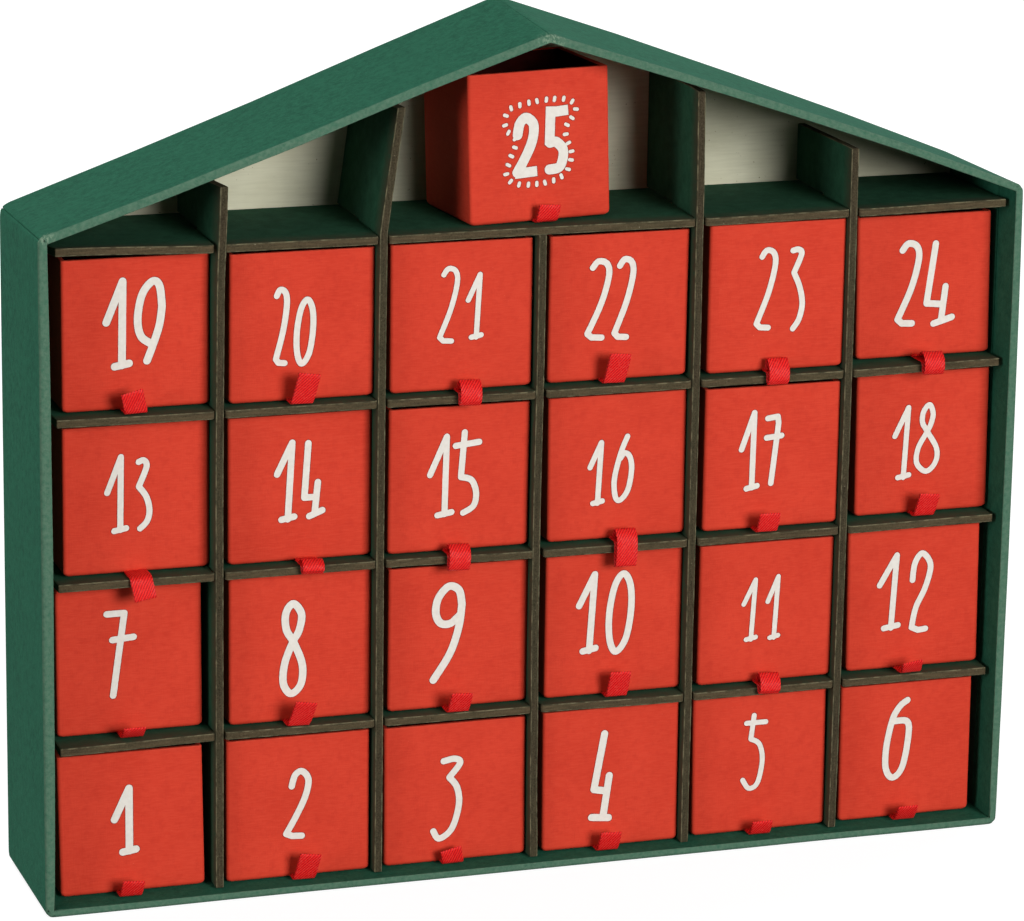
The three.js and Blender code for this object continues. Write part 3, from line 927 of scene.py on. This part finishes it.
def make_tray_box(tray):
    verts = []
    loops = tray_loops(tray)
    taper = 0 if tray.number == ATTIC_TRAY else TRAY_TAPER
    for inset, z, region in loops:
        radius = TRAY_INNER_RADIUS if inset > TRAY_WALL / 2 and region != OUTSIDE else TRAY_CORNER
        for x, y in rounded_loop(tray, inset, radius):
            if region == OUTSIDE and y < tray.depth / 4:
                y -= swell(tray, x, z)
            verts.append(tray.place @ Vector((x * (1 - taper * y / tray.depth), y, z)))
    count = len(verts) // len(loops)
    regions = [region for _, _, region in loops[1:] for _ in range(count)] + [OUTSIDE, INSIDE]
    mesh = solid(tray.body + "_box", verts, skin(len(loops), count), regions)
    smooth(mesh, 40)
    materials = ("tray", "tray_rim_worn_and_lit", "tray_inside_painted_shade")
    keep_flats(add_piece(mesh, tray.body, materials, tray.body))


# Numbers

# Each digit is a few strokes in a box of 100 by 100. "curve" strokes are drawn through their points,
# "line" strokes go straight from point to point, "ring" strokes close on themselves and "slab" strokes
# are straight with square ends. A letter after a digit marks another way of writing it.
DIGITS = {
    "0": [("ring", [(55, 100), (90, 84), (100, 52), (84, 16), (42, 0), (10, 16), (0, 50), (18, 86)])],
    "1": [("line", [(0, 52), (74, 100), (68, 0)]), ("line", [(36, -1), (100, 2)])],
    "1f": [("line", [(0, 60), (88, 100), (63, 0)]), ("line", [(26, 0), (100, 3)])],
    "2": [("curve", [(20, 78), (34, 95), (66, 100), (98, 86), (86, 60), (46, 30), (6, 5)]),
          ("line", [(6, 5), (34, 1), (80, 0)])],
    "2h": [("curve", [(0, 66), (8, 88), (47, 100), (96, 84), (76, 56), (30, 30), (13, 4)]),
           ("line", [(13, 4), (50, 0), (92, 1)])],
    "2n": [("curve", [(10, 92), (38, 100), (82, 96), (95, 80), (66, 45), (6, 6)]),
           ("line", [(6, 6), (28, 1), (80, 0)])],
    "3": [("curve", [(30, 98), (74, 100), (96, 94), (56, 77)]),
          ("curve", [(56, 77), (88, 64), (100, 42), (78, 12), (30, 0), (4, 10)])],
    "3n": [("curve", [(0, 98), (40, 100), (62, 90), (10, 62)]),
           ("curve", [(10, 62), (72, 46), (100, 26), (84, 10), (34, 0)])],
    "3w": [("curve", [(0, 99), (40, 100), (66, 94), (20, 71)]),
           ("curve", [(20, 71), (72, 52), (100, 31), (84, 12), (43, 0)])],
    "4": [("line", [(48, 100), (6, 35), (76, 32)]), ("line", [(90, 50), (68, 2)]),
          ("line", [(2, 2), (100, 0)])],
    "4m": [("line", [(12, 100), (6, 26), (62, 26)]), ("line", [(70, 46), (62, 4)]),
           ("line", [(36, 0), (100, 7)])],
    "4n": [("line", [(26, 100), (6, 26), (62, 24)]), ("line", [(70, 46), (62, 4)]),
           ("line", [(36, 0), (100, 7)])],
    "5": [("line", [(14, 90), (100, 90)]), ("line", [(48, 100), (34, 68)]),
          ("curve", [(34, 68), (72, 60), (86, 38), (66, 7), (28, 0), (0, 12)])],
    "5n": [("line", [(0, 84), (100, 87)]), ("line", [(38, 100), (24, 45)]),
           ("curve", [(24, 45), (70, 40), (90, 24), (80, 8), (36, 0)])],
    "6": [("curve", [(84, 100), (52, 93), (22, 76), (3, 40), (9, 12), (43, 0), (83, 13), (100, 52), (90, 72),
                     (30, 74)])],
    "6n": [("curve", [(64, 100), (30, 74), (2, 34), (14, 6), (44, 0), (86, 16), (100, 48), (84, 68),
                      (52, 74), (30, 66)])],
    "7": [("line", [(0, 100), (66, 100), (20, 0)]), ("line", [(20, 68), (100, 70)])],
    "7n": [("line", [(5, 98), (72, 100), (78, 90), (37, 0)]), ("line", [(0, 69), (100, 71)])],
    "8": [("ring", [(50, 100), (90, 88), (78, 70), (46, 57), (8, 34), (2, 12), (40, 0), (88, 10), (94, 32),
                    (52, 57), (16, 72), (14, 90)])],
    "8n": [("ring", [(58, 100), (76, 88), (70, 74), (50, 60), (8, 36), (3, 13), (50, 0), (94, 13), (97, 34),
                     (50, 60), (26, 74), (30, 90)])],
    "9": [("curve", [(98, 80), (84, 95), (46, 100), (10, 88), (4, 72), (24, 61), (60, 60), (92, 68)]),
          ("curve", [(98, 80), (92, 56), (66, 28), (10, 0)])],
    "9n": [("curve", [(98, 68), (84, 94), (54, 100), (14, 84), (0, 54), (16, 32), (56, 22)]),
           ("curve", [(98, 68), (90, 44), (66, 18), (46, 0)])],
    "2b": [("curve", [(2, 70), (12, 90), (44, 100), (84, 86), (78, 56), (40, 24), (6, 2)]),
           ("slab", [(-6, 0), (110, 2)])],
    "5b": [("slab", [(10, 98), (110, 100)]), ("slab", [(10, 108), (10, 42)]),
           ("curve", [(12, 46), (50, 46), (90, 30), (74, 4), (14, 0)])],
}
DIGITS["2u"] = DIGITS["2n"]
UPRIGHT = ("1", "1f", "2u", "5", "5n", "7", "7n", "8", "8n")  # the digits that don't lean

# For each tray, its stroke's width and its digits: which, how far right of the tray's middle,
# how high above its foot, width and height, in mm
NUMBERS = {
    1: (2.4, ("1", -2.2, 12.4, 9, 23)),
    2: (2.1, ("2", -0.5, 12.6, 9, 23.5)),
    3: (2.1, ("3", -3, 7, 10.5, 28.5)),
    4: (2.4, ("4", -2.9, 8.6, 8.3, 31)),
    5: (1.7, ("5", -2, 14.1, 9.5, 26.5)),
    6: (2.2, ("6", -3.1, 12.7, 10, 28.5)),
    7: (2.1, ("7", -2.8, 11.4, 10.5, 28.5)),
    8: (2.4, ("8", -2.5, 8, 9, 31.7)),
    9: (2.5, ("9", -3.8, 8.4, 11.5, 33)),
    10: (2.2, ("1f", -9, 14, 8, 27.5), ("0", 2, 13, 9.5, 28)),
    11: (1.6, ("1f", -5.6, 13.8, 6, 21.5), ("1f", 2.4, 13.8, 5.5, 22)),
    12: (2.0, ("1f", -8.7, 13.1, 8.7, 26.5), ("2h", 2.4, 11.6, 8.3, 28)),
    13: (1.9, ("1", -6.3, 13, 7.8, 25), ("3n", 2.2, 13, 6, 23.5)),
    14: (2.1, ("1f", -4.8, 12.7, 7.6, 26.5), ("4m", 4.3, 13.2, 8.5, 25.5)),
    15: (2.0, ("1", -6.1, 11.2, 9.2, 27), ("5n", 2.4, 11.2, 9.7, 28)),
    16: (1.8, ("1f", -7.1, 11.2, 6, 21.5), ("6n", 1.9, 11.7, 7.5, 22.5)),
    17: (1.9, ("1", -7.8, 12.9, 7.5, 26.5), ("7n", 0.4, 13.9, 7, 23.8)),
    18: (1.8, ("1f", -7.2, 11.4, 7, 25), ("8n", 1.5, 12.9, 9, 24)),
    19: (2.4, ("1", -5.8, 12.9, 9.4, 28.5), ("9n", 4.2, 13.9, 10, 27)),
    20: (1.9, ("2u", -6.7, 11.2, 5.7, 25), ("0", 0.8, 10.7, 7, 22)),
    21: (1.7, ("2n", -4.4, 15.1, 7, 24.7), ("1f", 4.1, 15.9, 6, 21.5)),
    22: (2.0, ("2n", -6.9, 13, 8.5, 26.5), ("2n", 1.6, 12.7, 7.4, 27)),
    23: (1.9, ("2n", -3.8, 13.2, 7.4, 27), ("3w", 6.6, 12.4, 6.4, 27.5)),
    24: (2.2, ("2n", -5.6, 10.1, 9, 28.5), ("4n", 5.4, 9.6, 12, 28.5)),
    25: (3.2, ("2b", -4.5, 14, 9.5, 20.5), ("5b", 5.5, 14.5, 9, 21.5)),
}

# The ring of dashes round the last number, which draws in at its waist
RING = [(-10.3, 35.5), (-4.8, 37.3), (2.7, 38.1), (9.8, 37.5), (12, 34), (8.6, 29), (9, 25), (10.4, 20.5),
        (8.6, 15), (3.2, 12.3), (-6.8, 12.1), (-11.2, 15), (-9.6, 21), (-7.8, 26), (-11.2, 30)]


def through(points, closed=False, steps=9):
    """Points on a smooth curve through the given ones"""
    count = len(points)
    pick = (lambda i: points[i % count]) if closed else (lambda i: points[min(max(i, 0), count - 1)])
    made = []
    for index in range(count if closed else count - 1):
        a, b, c, d = (Vector(pick(index + shift)) for shift in (-1, 0, 1, 2))
        for step in range(steps):
            t = step / steps
            square, cube = 2 * a - 5 * b + 4 * c - d, 3 * b - a - 3 * c + d
            made.append(0.5 * (2 * b + (c - a) * t + square * t * t + cube * t ** 3))
    if not closed:
        made.append(Vector(points[-1]))
    return made


class Ink:
    """Strokes on a flat sheet, in mm, which are joined where they cross"""

    def __init__(self, spread):
        self.spread = spread
        self.points = []
        self.outlines = []

    def outline(self, corners):
        area = sum(a.x * b.y - b.x * a.y for a, b in zip(corners, corners[1:] + corners[:1]))
        if abs(area) < 1e-4:
            return
        first = len(self.points)
        self.points += corners if area > 0 else corners[::-1]
        self.outlines.append(tuple(range(first, first + len(corners))))

    def dot(self, middle, radius):
        angles = [2 * math.pi * (side + 0.5) / DOT_SIDES for side in range(DOT_SIDES)]
        self.outline([middle + Vector((math.cos(angle), math.sin(angle))) * radius for angle in angles])

    def bar(self, start, end, radius):
        across = (end - start).normalized().orthogonal() * radius
        self.outline([start - across, end - across, end + across, start + across])

    def band(self, line, radius, closed):
        count = len(line)
        sides = []
        for index, point in enumerate(line):
            ahead = line[(index + 1) % count if closed else min(index + 1, count - 1)]
            behind = line[index - 1 if closed else max(index - 1, 0)]
            across = (ahead - behind).normalized().orthogonal() * radius
            sides.append((point + across, point - across))
        for index in range(count if closed else count - 1):
            here, there = sides[index], sides[(index + 1) % count]
            self.outline([here[0], here[1], there[1]])
            self.outline([here[0], there[1], there[0]])

    def stroke(self, kind, points, width):
        radius = width / 2 + self.spread
        points = [Vector(point) for point in points]
        if kind in ("line", "slab"):
            ends = (points[1] - points[0]).normalized() * self.spread if kind == "slab" else Vector((0, 0))
            for start, end in zip(points, points[1:]):
                self.bar(start - ends, end + ends, radius)
        else:
            self.band(through(points, closed=kind == "ring"), radius, kind == "ring")
        round_ends = {"line": points, "curve": (points[0], points[-1])}
        for point in round_ends.get(kind, ()):
            self.dot(point, radius)

    def covers(self, spot, boxes):
        """Whether one of the strokes' outlines, which are all convex, goes round a spot"""
        for outline, (low, high) in zip(self.outlines, boxes):
            if low.x <= spot.x <= high.x and low.y <= spot.y <= high.y:
                corners = [self.points[index] for index in outline]
                turns = [(b - a).cross(spot - a) for a, b in zip(corners, corners[1:] + corners[:1])]
                if min(turns) >= 0 or max(turns) <= 0:
                    return True
        return False

    def sheet(self):
        """The joined strokes' points and triangles"""
        boxes = []
        for outline in self.outlines:
            across, upward = zip(*(self.points[index] for index in outline))
            boxes.append((Vector((min(across), min(upward))), Vector((max(across), max(upward)))))
        rims = [edge for outline in self.outlines for edge in zip(outline, outline[1:] + outline[:1])]
        points, _, triangles, _, _, _ = delaunay_2d_cdt(self.points, rims, [], 0, 1e-4)
        kept = []
        for triangle in triangles:
            a, b, c = (points[corner] for corner in triangle)
            if self.covers((a + b + c) / 3, boxes):
                kept.append(tuple(triangle) if (b - a).cross(c - a) > 0 else tuple(reversed(triangle)))
        return points, kept


def draw_number(ink, number):
    stroke, *digits = NUMBERS[number]
    for digit, middle, foot, width, height in digits:
        inner_width, inner_height = width - stroke, height - stroke
        left, low = middle - inner_width / 2, foot + stroke / 2
        lean = 0 if digit in UPRIGHT else SLANT * inner_height
        for kind, points in DIGITS[digit]:
            shares = [(x / 100, z / 100) for x, z in points]
            placed = [(left + x * inner_width + (z - 0.5) * lean, low + z * inner_height) for x, z in shares]
            ink.stroke(kind, placed, stroke)
    if number == ATTIC_TRAY:
        draw_ring(ink)


def draw_ring(ink):
    path = through(RING, closed=True, steps=20)
    lengths = [(path[(index + 1) % len(path)] - point).length for index, point in enumerate(path)]
    pace = sum(lengths) / DASHES
    shaky = random.Random(31)
    run, due = 0.0, pace / 2
    for index, point in enumerate(path):
        run += lengths[index]
        if run < due:
            continue
        due += pace
        outward = (path[(index + 1) % len(path)] - path[index - 1]).normalized().orthogonal()
        outward.rotate(Matrix.Rotation(shaky.uniform(-DASH_SHAKE, DASH_SHAKE), 2))
        dash = outward * DASH_LENGTH / 2
        ink.stroke("line", [point - dash, point + dash], DASH_WIDTH)


def make_number(tray):
    """The print on a tray's front, with a wider dark sheet below it as painted shadow round the print, both
    pressed a little into the paper
    """
    verts, faces, indices = [], [], []
    for index, (spread, lift_out) in enumerate([(0.0, PRINT_LIFT), (PRINT_PAINTED_SHADOW_WIDTH, PRINT_PAINTED_SHADOW_LIFT)]):
        ink = Ink(spread)
        draw_number(ink, tray.number)
        points, triangles = ink.sheet()
        first, count = len(verts), len(points)
        for out in (lift_out, -PRINT_SINK):
            for point in points:
                x, z = point * MM
                verts.append(tray.place @ Vector((x, -out * MM - swell(tray, x, z), z)))
        edges = {(a, b) for triangle in triangles for a, b in zip(triangle, triangle[1:] + triangle[:1])}
        rims = sorted((a, b) for a, b in edges if (b, a) not in edges)
        faces += [tuple(first + corner for corner in triangle) for triangle in triangles]
        faces += [tuple(first + count + corner for corner in reversed(triangle)) for triangle in triangles]
        faces += [(first + b, first + a, first + count + a, first + count + b) for a, b in rims]
        indices += [index] * (2 * len(triangles) + len(rims))
    mesh = solid(tray.body + "_number", verts, faces, indices)
    add_piece(mesh, tray.body, ("print", "print_painted_shadow"))


# Ribbon pulls

# A standing pull: how far out it bends up, how far out and up its fold is, how far right of
# the tray's middle it sits and how many degrees it leans to the right
STANDING = {
    1: (4.5, 7.5, 5.8, -1.9, 4), 2: (3.5, 7, 9.3, 0.9, 8), 3: (2.8, 4.6, 5.6, -1.5, -13),
    4: (4, 6.8, 6.8, -2.3, 3), 5: (4, 6.8, 5.2, -1.2, 0), 6: (3.8, 7.5, 5.6, -1.5, 0),
    7: (5.5, 9.5, 4.1, -0.8, 0), 8: (5.5, 10, 8.8, -2.2, 9), 9: (5.5, 9, 7, -1.6, 3),
    10: (3.6, 6.9, 9, 0, 2), 12: (6, 9.5, 4.6, -3, -8), 17: (5, 7.5, 6.6, -3, 1),
    18: (4.7, 8, 8, -1, 5), 19: (6, 8.5, 7.6, -1.5, -14), 20: (5, 8.5, 10.2, -1.3, 8),
    22: (4.5, 8, 10, -2.6, 5), 25: (2.6, 4.6, 5.6, 0.7, 5),
}
# A hanging pull: how far out its front edge of the shelf is, how high it arches, how far it
# reaches below the tray's foot, how far right it sits and how many degrees it leans
HANGING = {
    11: (3.7, 4.1, 2.4, -0.4, 3), 13: (7, 0.6, 6.4, -0.6, -10), 14: (6, 2.2, 2.0, 1.8, 3),
    15: (4.2, 3.4, 4.6, -1.6, 2), 16: (3.9, 4.3, 7.6, 1.2, 1), 21: (3.7, 4.2, 3.5, 1.2, 2),
    23: (2.4, 4.8, 3.4, -0.6, 1), 24: (8, 3.6, 3.5, -0.6, 1),
}


def standing_path(bend_out, out, up):
    """A doubled ribbon from under the tray's front, out along the shelf and up to its fold"""
    flap = Vector((out - bend_out, up - 0.3)).normalized()
    side = Vector((-flap.y, flap.x)) * 0.55
    tip = Vector((out, up))
    corner = Vector((bend_out, 0.25))
    return [
        (-0.9, 0.2), (bend_out * 0.5, 0.18),
        corner + Vector((-0.7, 0)), corner + flap * 0.9 + Vector((0.15, 0)),
        corner.lerp(tip, 0.55) + Vector((0.2, -0.1)), tip - side * 0.15 - flap * 0.7,
        tip + flap * 0.15 + side * 0.45, tip + side * 1.15 - flap * 0.7,
        corner.lerp(tip, 0.5) + side * 1.25, corner + side * 1.1 + flap * 0.9,
        (bend_out - 1.3, 0.75), (bend_out * 0.4, 0.62), (-0.9, 0.62),
    ]


def hanging_path(edge, arch, drop):
    """A doubled ribbon from under the tray's front, over the shelf's edge and down to its fold"""
    face = edge + SHELF_CLEARANCE
    if arch < 1:
        return [
            (-0.9, 0.2), (edge * 0.6, 0.2), (edge - 0.2, 0.2), (face + 0.5, -0.9),
            (face + 0.8, -drop * 0.55), (face + 0.9, -drop + 0.6), (face + 1.3, -drop),
            (face + 1.7, -drop + 0.7), (face + 1.6, -drop * 0.5), (face + 1.1, -0.3),
            (edge - 0.1, 0.75), (edge * 0.55, 0.85), (-0.9, 0.62),
        ]
    return [
        (-0.9, 0.2), (edge * 0.55, 0.22), (edge - 0.3, 0.2), (face + 0.25, -0.9),
        (face + 0.3, -drop * 0.6), (face + 0.8, -drop + 0.35), (face + 1.5, -drop),
        (face + 2.4, -drop + 0.9), (face + 3.0, -drop * 0.3), (face + 2.6, arch * 0.45),
        (edge + 0.3, arch), (edge * 0.55, arch * 0.4), (1.0, 0.75), (-0.9, 0.7),
    ]


def make_ribbon(tray):
    """A ribbon's thin section, carried along its path"""
    lying = math.inf
    if tray.number in STANDING:
        *shape, shift, lean = STANDING[tray.number]
        path = standing_path(*shape)
    else:
        *shape, shift, lean = HANGING[tray.number]
        path = hanging_path(*shape)
        lying = shape[0] * MM - LYING_END
    line = through([Vector(point) * MM for point in path], steps=RIBBON_STEPS)
    half = RIBBON_WIDTH / 2
    thick = RIBBON_THICKNESS / 2
    across = [-half + RIBBON_EDGE, -half * 0.5, 0, half * 0.5, half - RIBBON_EDGE]
    upper = [(x, thick) for x in across]
    lower = [(x, -thick) for x in reversed(across)]
    section = [(-half, 0), *upper, (half, 0), *lower]
    verts, laid = [], []
    run = 0.0
    for index, point in enumerate(line):
        ahead, behind = line[min(index + 1, len(line) - 1)], line[max(index - 1, 0)]
        run += (point - line[index - 1]).length if index else 0
        along = (ahead - behind).normalized()
        tilt = math.radians(lean) * min(1.0, abs(point.y) / LEAN_HEIGHT)
        for x, out in section:
            spot = Vector((x, -(point.x - along.y * out), point.y + along.x * out))
            turned = Matrix.Rotation(tilt, 3, "Y") @ spot
            turned.x += shift * MM
            if point.x < lying:
                turned.z = max(turned.z, LYING_HEIGHT)
            verts.append(tray.place @ turned)
            laid.append((x / MM, run / MM))
    mesh = solid(tray.body + "_ribbon", verts, skin(len(line), len(section)))
    layer = mesh.uv_layers.new(name="ribbon")
    for loop in mesh.loops:
        layer.data[loop.index].uv = laid[loop.vertex_index]
    work = bmesh.new()
    work.from_mesh(mesh)
    bmesh.ops.recalc_face_normals(work, faces=work.faces)
    work.to_mesh(mesh)
    work.free()
    smooth(mesh, 70)
    return add_piece(mesh, tray.body, ("ribbon",))


def make_trays():
    for number in range(1, 26):
        tray = find_tray(number)
        make_tray_box(tray)
        make_number(tray)
        ribbon = make_ribbon(tray)
        below = number - 6
        if number in HANGING and below >= 1:
            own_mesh(ribbon)


# Stage

def add_camera():
    data = bpy.data.cameras.new("camera")
    data.lens = CAMERA_LENS
    data.sensor_width = SENSOR_WIDTH
    data.clip_start = 0.05
    data.clip_end = 50
    forward = (CAMERA_AIM - CAMERA_PLACE).normalized()
    level = forward.cross(Vector((0, 0, 1))).normalized()
    right = level * math.cos(CAMERA_ROLL) + level.cross(forward) * math.sin(CAMERA_ROLL)
    camera = bpy.data.objects.new("camera", data)
    facing = Matrix((right, right.cross(forward), -forward)).transposed().to_4x4()
    camera.matrix_world = Matrix.Translation(CAMERA_PLACE) @ facing
    bpy.context.scene.collection.objects.link(camera)
    bpy.context.scene.camera = camera


def add_lamps():
    for name, (place, size, power) in LAMPS.items():
        data = bpy.data.lights.new(name, "AREA")
        data.shape = "DISK"
        data.size = size
        data.energy = power
        lamp = bpy.data.objects.new(name, data)
        lamp.location = place
        lamp.rotation_euler = (LAMP_AIM - Vector(place)).to_track_quat("-Z", "Y").to_euler()
        bpy.context.scene.collection.objects.link(lamp)


def add_floor():
    """A pale floor that shows the object's shadow and is white away from it"""
    corners = [(-1, -1, 0), (1, -1, 0), (1, 1, 0), (-1, 1, 0)]
    mesh = solid("floor", [Vector(corner) * FLOOR_REACH for corner in corners], [(0, 1, 2, 3)])
    look = Look("floor", roughness=0.9, specular=0.0)
    look.begin(look.add("ShaderNodeLightPath").outputs["Is Camera Ray"], FLOOR_BOUNCE, FLOOR_SEEN)
    around = look.math("SUBTRACT", 1.0, look.near((0, 0, 0), FLOOR_FADE))
    glow = look.math("ADD", FLOOR_GLOW, look.math("MULTIPLY", around, 1 - FLOOR_GLOW))
    look.feed(look.shader["Emission Color"], (1, 1, 1, 1))
    look.feed(look.shader["Emission Strength"], look.math("MULTIPLY", look.shows_background(), glow))
    mesh.materials.append(look.finish())
    floor = bpy.data.objects.new("floor", mesh)
    floor.location.z = -0.1 * MM
    bpy.context.scene.collection.objects.link(floor)


def add_world():
    world = bpy.data.worlds.new("studio")
    world.use_nodes = True
    bpy.context.scene.world = world
    sky = Nodes(world.node_tree)
    light = sky.tree.nodes["Background"]
    light.inputs["Color"].default_value = (1, 1, 1, 1)
    light.inputs["Strength"].default_value = WORLD_STRENGTH
    shown = sky.add("ShaderNodeBackground", {"Strength": 1.0})
    sockets = {0: sky.shows_background(), 1: light.outputs["Background"], 2: shown.outputs["Background"]}
    mixed = sky.add("ShaderNodeMixShader", sockets).outputs["Shader"]
    sky.feed(sky.tree.nodes["World Output"].inputs["Surface"], mixed)


add_camera()
make_case()
make_grid()
make_trays()
add_floor()
add_world()
add_lamps()
bpy.context.scene.view_settings.view_transform = "Standard"
